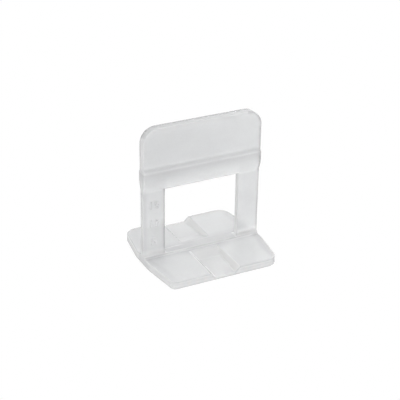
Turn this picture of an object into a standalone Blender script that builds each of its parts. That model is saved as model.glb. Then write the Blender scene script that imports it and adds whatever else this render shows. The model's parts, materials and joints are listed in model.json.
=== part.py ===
"""One-piece clip that spaces and levels tiles: a base plate, two thin legs and a pull tab.

The plate lies under the tiles, the legs stand in the joint and set its width, and a wedge
pushed through the window between the legs presses the tiles level. The legs snap off at
their feet once the adhesive has set, and the plate stays behind.
"""
import math

import bmesh
import bpy
from mathutils import Matrix

# Stem seen from the front, in metres: two legs, the window between them, crossbar and tab.
STEM_WIDTH = 0.032
LEG_WIDTH = 0.0059
WINDOW_HEIGHT = 0.01765
CROSSBAR_HEIGHT = 0.0057
TAB_HEIGHT = 0.0108
TAB_CORNER = 0.004

# Stem seen from the side. The legs are as thick as the joint between the tiles.
JOINT = 0.0015
CROSSBAR_THICKNESS = 0.00304
TAB_THICKNESS = 0.0022
LEDGE_DROP = 0.0006
ROOT_FILLET = 0.0004
EDGE_ROUND = 0.0003

# Plate: flat wings, a low crown under the legs and a rounded upper rim. Three corners are
# round, and the one at the front left is tighter.
BASE_DEPTH = 0.0293
BASE_THICKNESS = 0.00185
CROWN_RISE = 0.0003
CROWN_SHELF = 0.0005
WAIST_DEPTH = 0.0074
WAIST_ROUND = 0.008
END_WIDTH = 0.0288
PLATE_CORNER = 0.0032
TIGHT_CORNER = 0.0013
RIM_ROUND = 0.0006

# Troughs that let the adhesive through, one on each wing, a little left of the middle.
TROUGH_WIDTH = 0.0083
TROUGH_SHIFT = 0.0002
TROUGH_RIM_DEPTH = 0.00135
TROUGH_ROOT_DEPTH = 0.0009
TROUGH_NARROWING = 0.0002
TROUGH_RAMP = 0.0046

# Degrees that one facet of a round outline turns through.
FACET_TURN = 6

# Heights that follow from the sizes above.
CROWN_Z = BASE_THICKNESS + CROWN_RISE
WINDOW_TOP = CROWN_Z + WINDOW_HEIGHT
SHOULDER_Z = WINDOW_TOP + CROSSBAR_HEIGHT
HEIGHT = SHOULDER_Z + TAB_HEIGHT


def clear_scene():
    """Empty the scene of objects and left-over meshes and curves."""
    for obj in list(bpy.data.objects):
        bpy.data.objects.remove(obj, do_unlink=True)
    for store in (bpy.data.meshes, bpy.data.curves):
        for block in list(store):
            store.remove(block)


def new_collection(name):
    """Add a collection to the scene."""
    group = bpy.data.collections.new(name)
    bpy.context.scene.collection.children.link(group)
    return group


def prism(name, outline, thickness, group, turn=None):
    """Solid with a flat outline, extruded to both sides of its own plane."""
    curve = bpy.data.curves.new(name, "CURVE")
    curve.dimensions = "2D"
    curve.fill_mode = "BOTH"
    curve.extrude = thickness / 2
    spline = curve.splines.new("POLY")
    spline.points.add(len(outline) - 1)
    for point, (u, v) in zip(spline.points, outline):
        point.co = (u, v, 0, 1)
    spline.use_cyclic_u = True
    source = bpy.data.objects.new(name + " outline", curve)
    group.objects.link(source)
    bpy.context.view_layer.update()
    mesh = bpy.data.meshes.new_from_object(source)
    bpy.data.objects.remove(source, do_unlink=True)
    bpy.data.curves.remove(curve)
    mesh.name = name
    shape = bmesh.new()
    shape.from_mesh(mesh)
    bmesh.ops.remove_doubles(shape, verts=shape.verts, dist=1e-6)
    if turn is not None:
        bmesh.ops.transform(shape, matrix=turn, verts=shape.verts)
    bmesh.ops.recalc_face_normals(shape, faces=shape.faces)
    shape.to_mesh(mesh)
    shape.free()
    obj = bpy.data.objects.new(name, mesh)
    group.objects.link(obj)
    return obj


def arc(cu, cv, radius, start, end):
    """Points on an arc, angles in degrees."""
    points = []
    steps = max(2, round((end - start) / FACET_TURN))
    for k in range(steps + 1):
        angle = math.radians(start + (end - start) * k / steps)
        points.append((cu + radius * math.cos(angle), cv + radius * math.sin(angle)))
    return points


def rounded(corners):
    """Outline through (u, v, radius) corners, listed anticlockwise, each made an arc to its radius."""
    points = []
    for k, (u, v, radius) in enumerate(corners):
        before = corners[k - 1]
        after = corners[(k + 1) % len(corners)]
        arriving = math.atan2(v - before[1], u - before[0])
        leaving = math.atan2(after[1] - v, after[0] - u)
        turn = (leaving - arriving) % (2 * math.pi)
        back_off = radius * math.tan(turn / 2)
        cu = u - back_off * math.cos(arriving) - radius * math.sin(arriving)
        cv = v - back_off * math.sin(arriving) + radius * math.cos(arriving)
        first = math.degrees(arriving) - 90
        points += arc(cu, cv, radius, first, first + math.degrees(turn))
    return points


def mirrored(half):
    """Close an outline given for u >= 0, listed upwards, by its mirror image."""
    return half + [(-u, v) for u, v in reversed(half) if u > 0]


def apply_modifiers(obj):
    """Keep the evaluated shape and drop the modifiers."""
    bpy.context.view_layer.update()
    graph = bpy.context.evaluated_depsgraph_get()
    mesh = bpy.data.meshes.new_from_object(obj.evaluated_get(graph))
    obj.modifiers.clear()
    obj.data = mesh


def combine(obj, tool, operation):
    """Exact Boolean between two solids."""
    step = obj.modifiers.new(operation, "BOOLEAN")
    step.operation = operation
    step.solver = "EXACT"
    step.object = tool
    apply_modifiers(obj)


def front_outline():
    """Stem outline in the X and Z directions: two legs, crossbar and tab."""
    half = STEM_WIDTH / 2
    window = half - LEG_WIDTH
    low = BASE_THICKNESS * 0.3
    corner = arc(half - TAB_CORNER, HEIGHT - TAB_CORNER, TAB_CORNER, 0, 90)
    outside = mirrored([(half, low)] + corner)
    return outside + [(-window, low), (-window, WINDOW_TOP), (window, WINDOW_TOP), (window, low)]


def stem_section():
    """Stem section in the Y and Z directions: foot fillet, leg, crossbar bulge and tab."""
    leg = JOINT / 2
    bar = CROSSBAR_THICKNESS / 2
    tab = TAB_THICKNESS / 2
    half = [(leg + ROOT_FILLET, 0)]
    for k in range(5):
        turn = math.pi / 2 * k / 4
        out = ROOT_FILLET * (1 - math.sin(turn))
        half.append((leg + out, CROWN_Z + ROOT_FILLET * 1.4 * (1 - math.cos(turn))))
    swell_foot = WINDOW_TOP + CROSSBAR_HEIGHT * 0.05
    swell_top = WINDOW_TOP + CROSSBAR_HEIGHT * 0.58
    for k in range(11):
        out = (bar - leg) * math.sin(math.pi / 2 * k / 10)
        half.append((leg + out, swell_foot + (swell_top - swell_foot) * k / 10))
    half += [(bar, SHOULDER_Z - LEDGE_DROP), (tab, SHOULDER_Z), (tab, HEIGHT * 1.1)]
    return mirrored(half)


def plate_section():
    """Plate section in the Y and Z directions: flat underside, wings and the crown between."""
    rim = BASE_DEPTH / 2
    crown = JOINT / 2 + CROWN_SHELF
    half = [
        (rim, 0),
        (rim, BASE_THICKNESS),
        (crown + CROWN_RISE * 4, BASE_THICKNESS),
        (crown + CROWN_RISE * 1.7, BASE_THICKNESS + CROWN_RISE * 0.12),
        (crown + CROWN_RISE * 0.5, BASE_THICKNESS + CROWN_RISE * 0.5),
        (crown, CROWN_Z),
    ]
    return mirrored(half)


def plate_outline():
    """Plate outline in the X and Y directions: straight waist, tapering sides, round corners."""
    middle = STEM_WIDTH / 2
    side = END_WIDTH / 2
    end = BASE_DEPTH / 2
    waist = WAIST_DEPTH / 2
    corners = [
        (-side, -end, TIGHT_CORNER),
        (side, -end, PLATE_CORNER),
        (middle, -waist, WAIST_ROUND),
        (middle, waist, WAIST_ROUND),
        (side, end, PLATE_CORNER),
        (-side, end, PLATE_CORNER),
        (-middle, waist, WAIST_ROUND),
        (-middle, -waist, WAIST_ROUND),
    ]
    return rounded(corners)


def round_rim(plate):
    """Round the upper edge of the plate all the way along its outline."""
    shape = bmesh.new()
    shape.from_mesh(plate.data)
    bmesh.ops.dissolve_limit(shape, angle_limit=0.0005, verts=shape.verts, edges=shape.edges)
    weight = shape.edges.layers.float.new("bevel_weight_edge")
    for edge in shape.edges:
        slopes = [face.normal.z for face in edge.link_faces]
        edge[weight] = 1.0 if max(slopes) > 0.7 and abs(min(slopes)) < 0.2 else 0.0
    shape.to_mesh(plate.data)
    shape.free()
    rounding = plate.modifiers.new("rim", "BEVEL")
    rounding.limit_method = "WEIGHT"
    rounding.width = RIM_ROUND
    rounding.segments = 4
    apply_modifiers(plate)


def soften_edges(stem):
    """Take the sharpness off the square edges of the stem."""
    rounding = stem.modifiers.new("edges", "BEVEL")
    rounding.width = EDGE_ROUND
    rounding.segments = 3
    rounding.limit_method = "ANGLE"
    rounding.angle_limit = math.radians(60)
    apply_modifiers(stem)


def trough(side, group):
    """Cutter for one trough: floor sloping to the rim, flared sides and a ramp to the crown."""
    rim = BASE_DEPTH / 2
    crown = JOINT / 2 + CROWN_SHELF
    foot = crown + TROUGH_RAMP
    fall = (TROUGH_RIM_DEPTH - TROUGH_ROOT_DEPTH) / (rim - foot)
    flare = TROUGH_NARROWING / (rim - foot)
    run = TROUGH_RAMP / (CROWN_RISE + TROUGH_ROOT_DEPTH)
    top = CROWN_Z * 2
    shape = bmesh.new()
    bmesh.ops.create_cube(shape, size=2)
    for vert in shape.verts:
        outer = vert.co.y > 0
        y = rim * 1.1 if outer else foot
        z = BASE_THICKNESS - TROUGH_RIM_DEPTH + (rim - y) * fall
        if vert.co.z > 0:
            if not outer:
                y -= (top - z) * run
            z = top
        half = TROUGH_WIDTH / 2 - (rim - y) * flare + z - BASE_THICKNESS
        vert.co = (vert.co.x * half - TROUGH_SHIFT, side * y, z)
    bmesh.ops.recalc_face_normals(shape, faces=shape.faces)
    mesh = bpy.data.meshes.new("trough")
    shape.to_mesh(mesh)
    shape.free()
    cutter = bpy.data.objects.new("trough", mesh)
    group.objects.link(cutter)
    return cutter


def finish(clip):
    """Clean the mesh, smooth the rounded faces and give the plastic its material."""
    shape = bmesh.new()
    shape.from_mesh(clip.data)
    bmesh.ops.remove_doubles(shape, verts=shape.verts, dist=2e-6)
    bmesh.ops.dissolve_limit(shape, angle_limit=0.001, verts=shape.verts, edges=shape.edges)
    bmesh.ops.recalc_face_normals(shape, faces=shape.faces)
    shape.to_mesh(clip.data)
    shape.free()
    clip.data.shade_smooth()
    clip.data.set_sharp_from_angle(angle=math.radians(30))
    plastic = bpy.data.materials.new("natural polypropylene")
    plastic.use_nodes = True
    surface = plastic.node_tree.nodes["Principled BSDF"]
    surface.inputs["Base Color"].default_value = (0.78, 0.79, 0.79, 1)
    surface.inputs["Roughness"].default_value = 0.4
    clip.data.materials.clear()
    clip.data.materials.append(plastic)


def build():
    """Model the clip standing on its plate at the origin."""
    clear_scene()
    group = new_collection("tile spacer")
    cutters = new_collection("cutters")
    across = Matrix.Rotation(math.pi / 2, 4, "Z") @ Matrix.Rotation(math.pi / 2, 4, "X")
    upright = Matrix.Rotation(math.pi / 2, 4, "X")

    # Plate: outline from above trimmed by its side section, rounded, then cut by two troughs.
    clip = prism("levelling_clip", plate_outline(), CROWN_Z * 4, group)
    combine(clip, prism("plate section", plate_section(), STEM_WIDTH * 2, cutters, across), "INTERSECT")
    round_rim(clip)
    for side in (1, -1):
        combine(clip, trough(side, cutters), "DIFFERENCE")

    # Stem: outline from the front trimmed by its side section, then moulded on to the plate.
    stem = prism("stem", front_outline(), CROSSBAR_THICKNESS * 2, cutters, upright)
    combine(stem, prism("stem section", stem_section(), STEM_WIDTH * 2, cutters, across), "INTERSECT")
    soften_edges(stem)
    combine(clip, stem, "UNION")
    finish(clip)

    for tool in cutters.objects:
        tool.display_type = "WIRE"
        tool.hide_render = True
    cutters.hide_render = True


build()
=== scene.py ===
"""Dresses the tile spacer for its portrait: one milky moulding on a white studio floor."""
import json
import math

import bmesh
import bpy
from mathutils import Matrix, Vector


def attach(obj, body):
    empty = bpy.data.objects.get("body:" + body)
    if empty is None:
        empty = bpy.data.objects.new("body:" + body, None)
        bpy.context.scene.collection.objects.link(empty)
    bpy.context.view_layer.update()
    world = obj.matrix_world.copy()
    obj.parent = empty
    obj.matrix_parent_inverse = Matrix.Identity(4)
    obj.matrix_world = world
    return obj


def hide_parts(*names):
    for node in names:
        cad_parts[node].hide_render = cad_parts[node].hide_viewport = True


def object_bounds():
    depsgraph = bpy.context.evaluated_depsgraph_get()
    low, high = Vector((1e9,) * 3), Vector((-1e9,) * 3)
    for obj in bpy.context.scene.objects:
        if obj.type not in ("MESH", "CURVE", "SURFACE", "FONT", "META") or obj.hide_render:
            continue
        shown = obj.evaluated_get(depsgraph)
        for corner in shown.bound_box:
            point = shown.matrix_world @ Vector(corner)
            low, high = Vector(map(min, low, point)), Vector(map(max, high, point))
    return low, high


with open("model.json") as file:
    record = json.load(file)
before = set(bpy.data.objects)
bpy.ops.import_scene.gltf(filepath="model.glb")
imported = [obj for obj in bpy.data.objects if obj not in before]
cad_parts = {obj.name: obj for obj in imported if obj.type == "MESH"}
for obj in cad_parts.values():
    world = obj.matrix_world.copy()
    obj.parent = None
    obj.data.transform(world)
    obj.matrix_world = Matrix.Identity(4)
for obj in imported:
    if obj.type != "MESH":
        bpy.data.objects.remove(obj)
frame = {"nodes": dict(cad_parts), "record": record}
cad_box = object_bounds()
scene = bpy.context.scene

# The moulding. One shot of natural polypropylene fills plate, legs, crossbar and tab, so the
# clip is a single closed skin with no seam. It starts from the model's own solid.
MM = 0.001
cad = frame["nodes"]["levelling_clip"]
skin = bmesh.new()
skin.from_mesh(cad.data)
bmesh.ops.remove_doubles(skin, verts=skin.verts, dist=0.002 * MM)
bmesh.ops.dissolve_limit(skin, angle_limit=math.radians(0.1), verts=skin.verts, edges=skin.edges)
moulding_mesh = bpy.data.meshes.new("clip_moulding")
skin.to_mesh(moulding_mesh)
skin.free()
moulding = bpy.data.objects.new("clip_moulding", moulding_mesh)
scene.collection.objects.link(moulding)


def settle(piece):
    """Keep the evaluated mesh of a piece and drop its modifiers."""
    bpy.context.view_layer.update()
    graph = bpy.context.evaluated_depsgraph_get()
    piece.data = bpy.data.meshes.new_from_object(piece.evaluated_get(graph))
    piece.modifiers.clear()


# The height figures. They are engraved in the mould, so they stand proud of the left leg, each
# with its foot at the height in millimetres that it names. They are one solid with the leg.
FIGURES = {"5": 5 * MM, "10": 10 * MM, "15": 15 * MM}
FIGURE_SIZE = 3.0 * MM
FIGURE_RISE = 0.015 * MM
FIGURE_ROOT = 0.05 * MM
FIGURE_MIDDLE = -13.1 * MM
mounts = {mount["name"]: mount["pos_m"] for mount in frame["record"]["mounts"]}
leg_face = mounts["joint_face_front"][1]

figure_tree = bpy.data.node_groups.new("raised figure", "GeometryNodeTree")
face = figure_tree.interface
face.new_socket("Geometry", in_out="INPUT", socket_type="NodeSocketGeometry")
number_input = face.new_socket("Number", in_out="INPUT", socket_type="NodeSocketString")
size_input = face.new_socket("Size", in_out="INPUT", socket_type="NodeSocketFloat")
depth_input = face.new_socket("Depth", in_out="INPUT", socket_type="NodeSocketFloat")
face.new_socket("Geometry", in_out="OUTPUT", socket_type="NodeSocketGeometry")
given = figure_tree.nodes.new("NodeGroupInput")
letters = figure_tree.nodes.new("GeometryNodeStringToCurves")
letters.align_x = "CENTER"
real = figure_tree.nodes.new("GeometryNodeRealizeInstances")
smooth = figure_tree.nodes.new("GeometryNodeSetSplineResolution")
smooth.inputs["Resolution"].default_value = 4
filled = figure_tree.nodes.new("GeometryNodeFillCurve")
raised = figure_tree.nodes.new("GeometryNodeExtrudeMesh")
raised.mode = "FACES"
raised.inputs["Individual"].default_value = False
underside = figure_tree.nodes.new("GeometryNodeFlipFaces")
both = figure_tree.nodes.new("GeometryNodeJoinGeometry")
closed = figure_tree.nodes.new("GeometryNodeMergeByDistance")
closed.inputs["Distance"].default_value = 0.001 * MM
whole = figure_tree.nodes.new("GeometryNodeRealizeInstances")
finish = figure_tree.nodes.new("GeometryNodeSetMaterial")
made = figure_tree.nodes.new("NodeGroupOutput")
join = figure_tree.links.new
join(given.outputs["Number"], letters.inputs["String"])
join(given.outputs["Size"], letters.inputs["Size"])
join(letters.outputs["Curve Instances"], real.inputs["Geometry"])
join(real.outputs["Geometry"], smooth.inputs["Geometry"])
join(smooth.outputs["Geometry"], filled.inputs["Curve"])
join(filled.outputs["Mesh"], raised.inputs["Mesh"])
join(given.outputs["Depth"], raised.inputs["Offset Scale"])
join(filled.outputs["Mesh"], underside.inputs["Mesh"])
join(raised.outputs["Mesh"], both.inputs["Geometry"])
join(underside.outputs["Mesh"], both.inputs["Geometry"])
join(both.outputs["Geometry"], closed.inputs["Geometry"])
join(closed.outputs["Geometry"], whole.inputs["Geometry"])
join(whole.outputs["Geometry"], finish.inputs["Geometry"])
join(finish.outputs["Geometry"], made.inputs["Geometry"])

plastic = bpy.data.materials.new("natural_polypropylene")
finish.inputs["Material"].default_value = plastic
upright = Matrix.Rotation(math.pi / 2, 4, "X")
for number, foot in FIGURES.items():
    figure = bpy.data.objects.new("figure", bpy.data.meshes.new("figure"))
    scene.collection.objects.link(figure)
    growth = figure.modifiers.new("raised figure", "NODES")
    growth.node_group = figure_tree
    growth[number_input.identifier] = number
    growth[size_input.identifier] = FIGURE_SIZE
    growth[depth_input.identifier] = FIGURE_ROOT + FIGURE_RISE
    settle(figure)
    root = Matrix.Translation((FIGURE_MIDDLE, leg_face + FIGURE_ROOT, foot))
    figure.data.transform(root @ upright)
    union = moulding.modifiers.new("figure", "BOOLEAN")
    union.operation = "UNION"
    union.solver = "EXACT"
    union.object = figure
    settle(moulding)
    bpy.data.objects.remove(figure)


# The skin's cells. The skin is cut into small cells, whose corners later keep a value of painted
# light and shade each. The troughs come out of the mould with soft edges, so none of theirs stays
# sharp.
CELL = 0.45 * MM
TROUGH_REACH = 5.5
TROUGH_LOW = 0.1
TROUGH_HIGH = 2.1
RIM_START = 14.2
grid = bmesh.new()
grid.from_mesh(moulding.data)
for axis in range(3):
    normal = Vector((0, 0, 0))
    normal[axis] = 1
    first_cut = math.ceil(cad_box[0][axis] / CELL)
    end_cut = math.ceil(cad_box[1][axis] / CELL)
    for cut in range(first_cut, end_cut):
        every = grid.verts[:] + grid.edges[:] + grid.faces[:]
        middle = normal * cut * CELL
        bmesh.ops.bisect_plane(grid, geom=every, dist=0.0002 * MM, plane_co=middle, plane_no=normal)
grid.to_mesh(moulding.data)
grid.free()
moulding.data.shade_smooth()
moulding.data.set_sharp_from_angle(angle=math.radians(35))


def millimetres(spot):
    """The three coordinates of a spot in millimetres."""
    return [value / MM for value in spot]


def in_trough(spot):
    """Whether a spot lies in or beside a trough, between the underside and the crown."""
    x, y, z = millimetres(spot)
    return abs(x) < TROUGH_REACH and abs(y) < RIM_START and TROUGH_LOW < z < TROUGH_HIGH


for edge in moulding.data.edges:
    if all(in_trough(moulding.data.vertices[end].co) for end in edge.vertices):
        edge.use_edge_sharp = False
weighting = moulding.modifiers.new("flat faces stay flat", "WEIGHTED_NORMAL")
weighting.keep_sharp = True
settle(moulding)

# The stem's painted light and shade. Each value is painted light above 1 and painted shade below
# it, by place and facing, for the light that falls there and for how much plastic lies behind a
# spot. A value of 1 is a plain face, and all places in these functions are in millimetres.
BAR_BOTTOM = mounts["wedge_seat"][2] / MM
LEDGE = 25.0
HEIGHT = 36.3
HALF_WIDTH = 16
WINDOW_SIDE = 10.1
LEG_MIDDLE = 13.05
TAB_CORNER = 4
STEM_TONE = -0.02
# Painted light that grows from the left of the clip to the right.
RIGHTWARD_PAINTED_LIGHT = 0.03
LEG_LIFT = 0.16
FOOT_LIFT = 0.34
RIGHT_LEG_SHADE = -0.04
RIGHT_FOOT_LIFT = 0.12
LOW_CORNER_SHADE = -0.06
NEAR_SIDE_LIFT = 0.42
INNER_SIDE_LIFT = 0.14
FAR_SIDE_TONE = -0.45
LOW_SIDE_SHADE = -0.13
RIGHT_EDGE_TONE = -0.1
LOW_EDGE_TONE = -0.2
TAB_EDGE_TONE = -0.27
BAR_TOP_TONE = -0.095
BAR_BOTTOM_TONE = 0.20
BAR_END_TONE = 0.11
BAR_RIGHT_LIFT = 0.03
LIP_LIFT = 0.34
LIP_END_TONE = -0.04
TOP_LIFT = 0.08
TOP_EDGE_TONE = -0.6
BACK_EDGE_SHADE = -0.5
TAB_LINE_SHADE = -0.05


def rise(value, start, end):
    """Goes smoothly from 0 at start to 1 at end."""
    part = min(max((value - start) / (end - start), 0), 1)
    return part * part * (3 - 2 * part)


def band(value, start, full, fading, end):
    """Goes smoothly from 0 at start to 1 at full, and from 1 at fading back to 0 at end."""
    return rise(value, start, full) * rise(value, end, fading)


def body_painted_shading(x, z, across):
    """Painted light and shade that all faces of the stem share. It gets lighter towards the feet
    and to the right.
    """
    light = 1 + STEM_TONE + RIGHTWARD_PAINTED_LIGHT * across * (1 + 0.5 * rise(z, LEDGE, LEDGE + 1))
    light += LEG_LIFT * (1 - 0.4 * across) * rise(z, 16, 3)
    light += FOOT_LIFT * rise(z, 4.2, 2.4) * (1 - 0.2 * rise(x, 0, -HALF_WIDTH))
    light += LOW_CORNER_SHADE * rise(x, -12, -14) * rise(z, 8, 3)
    light += RIGHT_LEG_SHADE * rise(across, 0.5, 0.7) * band(z, 5, 8, 12, 16)
    light += RIGHT_FOOT_LIFT * band(across, 0.6, 0.7, 0.85, 0.95) * rise(z, 5, 2.5)
    return light


def side_change(x, z, facing):
    """Painted light and shade that the narrow sides of the stem add: lighter where they face left,
    darker where they face right. The walls of the height figures are left out.
    """
    flank = rise(abs(abs(x) - LEG_MIDDLE), 2.4, 2.6)
    leftness = rise(x, 0, -HALF_WIDTH)
    low_left = rise(z, 10, 6) * leftness
    bar_left = band(z, 18, 19.5, 26, 27) * leftness
    leftward = rise(-facing.x, 0.8, 1)
    change = NEAR_SIDE_LIFT * leftward * (1 - 0.75 * low_left - 0.4 * bar_left)
    change += FAR_SIDE_TONE * band(facing.x, 0.2, 0.5, 0.9, 1)
    change += INNER_SIDE_LIFT * leftward * rise(abs(x), HALF_WIDTH, WINDOW_SIDE)
    shade = LOW_SIDE_SHADE * rise(x, -14.5, -15.8) * rise(z, LEDGE - 4, BAR_BOTTOM - 1)
    return change * flank + shade


def edge_change(x, z, across, facing):
    """Painted dark line along the right edge of the stem, and along the window on the left leg."""
    border = HALF_WIDTH if x > 0 or z > BAR_BOTTOM else -WINDOW_SIDE
    inward = border - x
    corner_x = HALF_WIDTH - TAB_CORNER
    corner_z = HEIGHT - TAB_CORNER
    if x > corner_x and z > corner_z:
        inward = TAB_CORNER - math.hypot(x - corner_x, z - corner_z) + 0.2 * rise(x, 15, 13)
    change = TAB_EDGE_TONE
    if z < LEDGE:
        change = RIGHT_EDGE_TONE + LOW_EDGE_TONE * rise(z, 13, 8) * (1 - 0.4 * rise(across, 0, 0.5))
        change += 1.7 * LOW_EDGE_TONE * band(z, 19, 20, 23.5, 24.5)
    return change * rise(inward, 0.8, 0.3) * rise(facing.y, 0.3, -0.3)


def bar_change(x, z, across):
    """Painted light and shade on the crossbar: dark below its ledge, lighter downwards, with a
    light lower lip.
    """
    bottom = BAR_END_TONE
    bottom += (BAR_BOTTOM_TONE - BAR_END_TONE) * rise(abs(x), WINDOW_SIDE + 1, WINDOW_SIDE - 1)
    change = BAR_TOP_TONE + (bottom - BAR_TOP_TONE) * rise(z, LEDGE, BAR_BOTTOM)
    change += BAR_RIGHT_LIFT * rise(across, 0.2, 0.9)
    lip = LIP_LIFT if abs(x) < WINDOW_SIDE else LIP_END_TONE
    return change + lip * rise(z, BAR_BOTTOM + 0.7, BAR_BOTTOM + 0.1)


def tab_change(x, y, z, facing):
    """Painted light and shade on the tab: a light top, a dark back edge and a thin shade inside the
    front edge.
    """
    change = 0
    if z > LEDGE + 3:
        change += TOP_LIFT * rise(facing.z, 0.5, 0.9)
        change += TOP_EDGE_TONE * rise(facing.y, 0.2, 0.6) * rise(facing.z, 0.2, 0.5)
        back_edge = rise(y, 0.2, 0.8) * rise(facing.y, 0.9, 0.7) * rise(facing.x, 0.5, 0)
        change += BACK_EDGE_SHADE * back_edge * rise(z, LEDGE + 3, LEDGE + 5)
    if z > LEDGE + 1 and facing.y < -0.5:
        inside = min(x + HALF_WIDTH, HEIGHT - z)
        change += TAB_LINE_SHADE * rise(inside, 1.0, 0.3)
    return change


def stem_painted_shading(x, y, z, facing):
    """Painted light and shade of one spot on the legs, the crossbar or the tab."""
    across = x / HALF_WIDTH
    light = body_painted_shading(x, z, across) + side_change(x, z, facing) + edge_change(x, z, across, facing)
    if BAR_BOTTOM - 0.01 < z < LEDGE:
        light += bar_change(x, z, across)
    return light + tab_change(x, y, z, facing)


# The plate's painted light and shade. The rim and the trough walls that face left are painted
# lighter than the wings, and the crown, the waist and the borders darker. Places are in millimetres
# here too.
PLATE_TOP = mounts["wing_top_front"][2] / MM
STEM_FOOT = 2.2
WING_START = 8
RIM_LIFT = 0.34
RIM_SLANT = 0.22
LEFT_RIM_LIFT = 0.1
FAR_RIM_TONE = -0.4
WAIST_RIM_TONE = -0.35
RAMP_LIFT = 0.27
WALL_LIFT = 0.55
FAR_WALL_TONE = -0.45
TROUGH_TONE = -0.07
WING_LIFT = 0.03
EDGE_SHADE = -0.14
LEFT_EDGE_SHADE = -0.06
LEFT_LINE_SHADE = -0.25
CREASE_LIFT = 0.25
CROWN_SHADE = -0.08
CROWN_BACK_SHADE = -0.04
BACK_SHADE = -0.025
CORNER_SHADE = -0.07
SOFT_SHADE = -0.08


def rim_painted_shading(y, facing, tilt):
    """Painted light and shade of one spot on the rounded rim, by the side that it faces."""
    leftward = rise(-facing.x, 0.4, 0.8)
    change = RIM_LIFT - RIM_SLANT * facing.x
    change += LEFT_RIM_LIFT * leftward * rise(y, -2, -5)
    change += FAR_RIM_TONE * rise(facing.x, 0.2, 0.6)
    change += WAIST_RIM_TONE * leftward * band(y, -6, -4, 1, 3)
    return 1 + change * rise(tilt, 40, 75)


def crown_change(x, y, across):
    """Painted light and shade on the crown: light at the legs' feet and in the crease beside the
    stem, and painted shade around them.
    """
    away = abs(y)
    change = FOOT_LIFT * rise(away, 1.5, 1.1) * rise(abs(x), WINDOW_SIDE - 0.5, WINDOW_SIDE)
    crease = CREASE_LIFT * band(away, 0.85, 1.15, 1.35, 1.75)
    window = band(x, -6, -3, 9, 10)
    change += crease * rise(x, -WINDOW_SIDE - 1, -WINDOW_SIDE + 1) * (1 - 0.8 * window)
    change += crease * band(x, WINDOW_SIDE, WINDOW_SIDE + 1, 14, 15)
    change += CROWN_SHADE * (1 - 0.4 * across) * rise(away, 3.2, 1)
    change += CROWN_BACK_SHADE * band(y, -2, -0.5, 3, 4.5)
    change += BACK_SHADE * rise(y, 3, 5) * (1 - 1.5 * across)
    change += CORNER_SHADE * rise(x, -8, -14) * band(y, -7, -3, -2, -1.2)
    front = band(x, -9, -4, 5, 9) * band(y, -5, -2.5, -1.8, -1.4)
    return change + SOFT_SHADE * front * (1 + 0.5 * rise(x, -1, 2))


def wing_painted_shading(x, y, z, facing, tilt):
    """Painted light and shade of one spot on the wings, in the troughs or on the crown."""
    across = x / HALF_WIDTH
    steep = rise(tilt, 20, 40)
    light = 1 + RIGHTWARD_PAINTED_LIGHT * across
    light += RAMP_LIFT * rise(tilt, 4, 13) * (1 - 1.2 * rise(y, -1, 1))
    light += WALL_LIFT * steep * rise(-facing.x, 0.1, 0.3)
    light += FAR_WALL_TONE * steep * rise(facing.x, 0.1, 0.3)
    bed = rise(z, PLATE_TOP - 0.3, PLATE_TOP - 1.0) * rise(tilt, 12, 4)
    light += TROUGH_TONE * bed * (1 + rise(y, -10, -13) * rise(x, -1, 2))
    wing = rise(abs(x), 4, 6) * rise(abs(y), 2, 4)
    light += WING_LIFT * wing * (1 + 0.6 * rise(x, 0, 6) * rise(y, 0, -3))
    border = HALF_WIDTH - 1.6 * rise(abs(y), 1, 9)
    light += EDGE_SHADE * rise(x, border - 2.2, border - 0.6) * (0.5 + 0.5 * rise(y, 6, 2))
    light += LEFT_EDGE_SHADE * rise(-x, border - 2, border - 0.6) * rise(y, -1, -2)
    light += LEFT_LINE_SHADE * rise(-facing.x, 0.15, 0.4) * rise(abs(x), 10, 12)
    return light + crown_change(x, y, across)


def painted_shading(spot, facing):
    """Painted light and shade of one spot of the skin, from its place and the way that it faces."""
    x, y, z = millimetres(spot)
    tilt = math.degrees(math.acos(max(min(facing.z, 1), -1)))
    if z > STEM_FOOT:
        return stem_painted_shading(x, y, z, facing)
    if tilt > 120:
        return 1.0
    if abs(y) > RIM_START or abs(x) > WING_START and tilt > 40:
        return rim_painted_shading(y, facing, tilt)
    return wing_painted_shading(x, y, z, facing, tilt)


# Each corner of the skin keeps its painted light and shade, which scales the milky colour.
painted_shading_layer = moulding.data.attributes.new("painted_shading", "FLOAT", "POINT")
for corner in moulding.data.vertices:
    painted_shading_layer.data[corner.index].value = painted_shading(corner.co, corner.normal)

# The plastic. Natural polypropylene, milky and partly clear, with the smooth skin of a polished
# mould. Soft clouds change its brightness a little at random, and painted light and dark level
# lines at the ledge and the rim stand in for the highlights and shade there.
plastic.use_nodes = True
nodes = plastic.node_tree.nodes
links = plastic.node_tree.links
surface = nodes["Principled BSDF"]
place = nodes.new("ShaderNodeTexCoord")
axes = nodes.new("ShaderNodeSeparateXYZ")
links.new(place.outputs["Object"], axes.inputs["Vector"])


def times(first, second):
    """Product of two values."""
    product = nodes.new("ShaderNodeMath")
    product.operation = "MULTIPLY"
    links.new(first, product.inputs[0])
    links.new(second, product.inputs[1])
    return product.outputs["Value"]


def cloud(size, detail, low, high):
    """Soft noise over the skin, with blots of one size, between two values."""
    noise = nodes.new("ShaderNodeTexNoise")
    noise.inputs["Scale"].default_value = 1 / size
    noise.inputs["Detail"].default_value = detail
    links.new(place.outputs["Object"], noise.inputs["Vector"])
    spread = nodes.new("ShaderNodeMapRange")
    spread.inputs["From Min"].default_value = 0.3
    spread.inputs["From Max"].default_value = 0.7
    spread.inputs["To Min"].default_value = low
    spread.inputs["To Max"].default_value = high
    links.new(noise.outputs["Fac"], spread.inputs["Value"])
    return spread.outputs["Result"]


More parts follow.
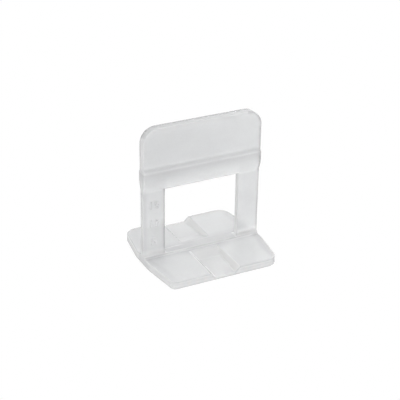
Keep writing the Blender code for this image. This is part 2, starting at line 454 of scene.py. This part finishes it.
def line(height, reach, change):
    """Soft painted level line round the clip that changes the brightness by a share: a highlight
    when the share is positive, shade when negative.
    """
    offset = nodes.new("ShaderNodeMath")
    offset.operation = "SUBTRACT"
    offset.inputs[1].default_value = height
    links.new(axes.outputs["Z"], offset.inputs[0])
    away = nodes.new("ShaderNodeMath")
    away.operation = "ABSOLUTE"
    links.new(offset.outputs["Value"], away.inputs[0])
    fade = nodes.new("ShaderNodeMapRange")
    fade.interpolation_type = "SMOOTHSTEP"
    fade.inputs["From Min"].default_value = 0.0
    fade.inputs["From Max"].default_value = reach
    fade.inputs["To Min"].default_value = 1 + change
    fade.inputs["To Max"].default_value = 1.0
    links.new(away.outputs["Value"], fade.inputs["Value"])
    return fade.outputs["Result"]


MILK = (0.671, 0.676, 0.682)
# Painted highlight and shade lines: height and reach in millimetres and change of brightness as a
# share. Four lines lie at the ledge, two at the rim.
PAINTED_LEDGE_AND_RIM_LINES = (
    (26.1, 0.85, 0.115),
    (25.45, 0.2, -0.03),
    (25.0, 0.25, 0.085),
    (24.5, 0.25, -0.02),
    (1.6, 0.25, 0.04),
    (1.05, 0.3, -0.04),
)
# The painted light and shade that the skin's corners keep.
painted_shading_node = nodes.new("ShaderNodeAttribute")
painted_shading_node.attribute_name = "painted_shading"
shade = painted_shading_node.outputs["Fac"]
shade = times(shade, cloud(4 * MM, 3.0, 0.985, 1.015))
shade = times(shade, cloud(0.5 * MM, 1.0, 0.99, 1.01))
for height, reach, change in PAINTED_LEDGE_AND_RIM_LINES:
    shade = times(shade, line(height * MM, reach * MM, change))
colour = nodes.new("ShaderNodeVectorMath")
colour.operation = "SCALE"
colour.inputs[0].default_value = MILK
links.new(shade, colour.inputs["Scale"])
links.new(colour.outputs["Vector"], surface.inputs["Base Color"])
links.new(cloud(1.5 * MM, 2.0, 0.06, 0.12), surface.inputs["Roughness"])
relief = nodes.new("ShaderNodeBump")
relief.inputs["Strength"].default_value = 0.1
relief.inputs["Distance"].default_value = 0.01 * MM
links.new(cloud(0.3 * MM, 2.0, 0.0, 1.0), relief.inputs["Height"])
links.new(relief.outputs["Normal"], surface.inputs["Normal"])
surface.inputs["IOR"].default_value = 1.49
surface.inputs["Transmission Weight"].default_value = 0.47
surface.inputs["Subsurface Weight"].default_value = 1.0
surface.inputs["Subsurface Scale"].default_value = 4 * MM
surface.inputs["Subsurface Radius"].default_value = (1, 1, 1)
absorb = nodes.new("ShaderNodeVolumeAbsorption")
absorb.inputs["Color"].default_value = (0.5, 0.5, 0.5, 1)
absorb.inputs["Density"].default_value = 30
links.new(absorb.outputs["Volume"], nodes["Material Output"].inputs["Volume"])
moulding.data.materials.clear()
moulding.data.materials.append(plastic)
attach(moulding, "root")
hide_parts("levelling_clip")

# The floor. A white sheet, lit from below, on which the clip stands. The camera sees it pure
# white, and all other light passes through it, as through a light table.
floor_mesh = bpy.data.meshes.new("floor")
sheet = bmesh.new()
bmesh.ops.create_grid(sheet, x_segments=1, y_segments=1, size=2.0)
sheet.to_mesh(floor_mesh)
sheet.free()
floor = bpy.data.objects.new("floor", floor_mesh)
scene.collection.objects.link(floor)
white = bpy.data.materials.new("light_table")
white.use_nodes = True
panel = white.node_tree
panel.nodes.clear()
path = panel.nodes.new("ShaderNodeLightPath")
clear = panel.nodes.new("ShaderNodeBsdfTransparent")
glow = panel.nodes.new("ShaderNodeEmission")
either = panel.nodes.new("ShaderNodeMixShader")
result = panel.nodes.new("ShaderNodeOutputMaterial")
panel.links.new(path.outputs["Is Camera Ray"], either.inputs["Fac"])
panel.links.new(clear.outputs["BSDF"], either.inputs[1])
panel.links.new(glow.outputs["Emission"], either.inputs[2])
panel.links.new(either.outputs["Shader"], result.inputs["Surface"])
floor.data.materials.append(white)

# The light. A white room gives even light from all sides. It is dimmer straight below, and a
# dark screen stands low at the back left, which draws the dark lines along the edges.
ROOM_LIGHT = 1.25
# Direction, the angles from it where the dimming starts and is full, and the share that is left.
DIMMERS = (
    ((0, 0, -1), 60, 30, 0.75),
    ((-0.4045, 0.791, -0.4588), 35, 12, 0.45),
)
world = bpy.data.worlds.new("white_room")
world.use_nodes = True
sky = world.node_tree
heading = sky.nodes.new("ShaderNodeTexCoord")
room = sky.nodes["Background"]
level = None
for towards, outer, inner, kept_share in DIMMERS:
    along = sky.nodes.new("ShaderNodeVectorMath")
    along.operation = "DOT_PRODUCT"
    along.inputs[1].default_value = Vector(towards).normalized()
    sky.links.new(heading.outputs["Generated"], along.inputs[0])
    screen = sky.nodes.new("ShaderNodeMapRange")
    screen.interpolation_type = "SMOOTHSTEP"
    screen.inputs["From Min"].default_value = math.cos(math.radians(outer))
    screen.inputs["From Max"].default_value = math.cos(math.radians(inner))
    screen.inputs["To Min"].default_value = 1.0
    screen.inputs["To Max"].default_value = kept_share
    sky.links.new(along.outputs["Value"], screen.inputs["Value"])
    dimmed = sky.nodes.new("ShaderNodeMath")
    dimmed.operation = "MULTIPLY"
    dimmed.inputs[0].default_value = ROOM_LIGHT
    if level is not None:
        sky.links.new(level, dimmed.inputs[0])
    sky.links.new(screen.outputs["Result"], dimmed.inputs[1])
    level = dimmed.outputs["Value"]
sky.links.new(level, room.inputs["Strength"])
room.inputs["Color"].default_value = (1, 1, 1, 1)
scene.world = world

# The camera. It stands left of the front and looks down on the clip through a long lens.
TURN = math.radians(-27.08)
LIFT = math.radians(27.31)
ROLL = math.radians(-0.90)
DISTANCE = 0.29487
LENS = 106.88
AIM = Vector((-0.00012, 0.00006, 0.01425))
back = Vector((math.sin(TURN) * math.cos(LIFT), -math.cos(TURN) * math.cos(LIFT), math.sin(LIFT)))
right = Vector((math.cos(TURN), math.sin(TURN), 0))
up = back.cross(right)
turned_right = right * math.cos(ROLL) - up * math.sin(ROLL)
turned_up = right * math.sin(ROLL) + up * math.cos(ROLL)
lens = bpy.data.cameras.new("camera")
lens.lens = LENS
lens.sensor_width = 36
lens.clip_start = 0.01
lens.clip_end = 10
camera = bpy.data.objects.new("camera", lens)
camera.matrix_world = Matrix.Translation(AIM + back * DISTANCE) @ Matrix(
    (turned_right, turned_up, back)
).transposed().to_4x4()
scene.collection.objects.link(camera)
scene.camera = camera
scene.view_settings.view_transform = "Standard"
